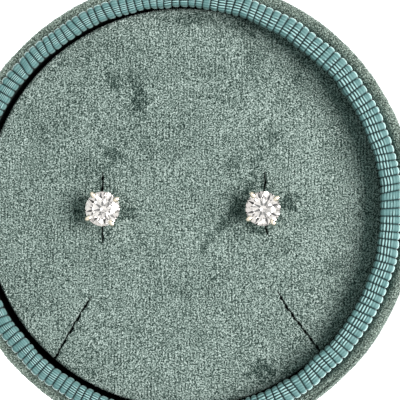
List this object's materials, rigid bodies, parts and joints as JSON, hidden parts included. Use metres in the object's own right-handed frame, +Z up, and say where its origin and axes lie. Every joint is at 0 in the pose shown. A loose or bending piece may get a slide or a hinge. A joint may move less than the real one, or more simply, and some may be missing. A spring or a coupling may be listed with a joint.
{
  "type": "stud earrings in a round jewellery box",
  "caption": "Claw-set round brilliant stud earrings on plain posts, standing in the slit velvet pad of an open round jewellery box with a ribbed ribbon collar.",
  "frame": {"origin": "centre of the box's flat underside", "axes": "+Z up through the mouth of the box, +X from the left stud to the right stud, +Y towards the upper edge of the pad, away from the long slits"},
  "size_m": [0.0788, 0.0788, 0.026],
  "materials": {
    "velvet_box": "cut pile velvet",
    "velvet_pad": "cut pile velvet",
    "ribbon": "ribbed satin thread",
    "gold": "polished pale yellow gold",
    "stone": "polished facets"
  },
  "bodies": {
    "root": {"box_base": "velvet_box", "collar": "ribbon", "pad": "velvet_pad", "stud_left_setting": "gold", "stud_left_stone": "stone", "stud_right_setting": "gold", "stud_right_stone": "stone", "clutch_left": "gold", "clutch_right": "gold"}
  },
  "joints": []
}
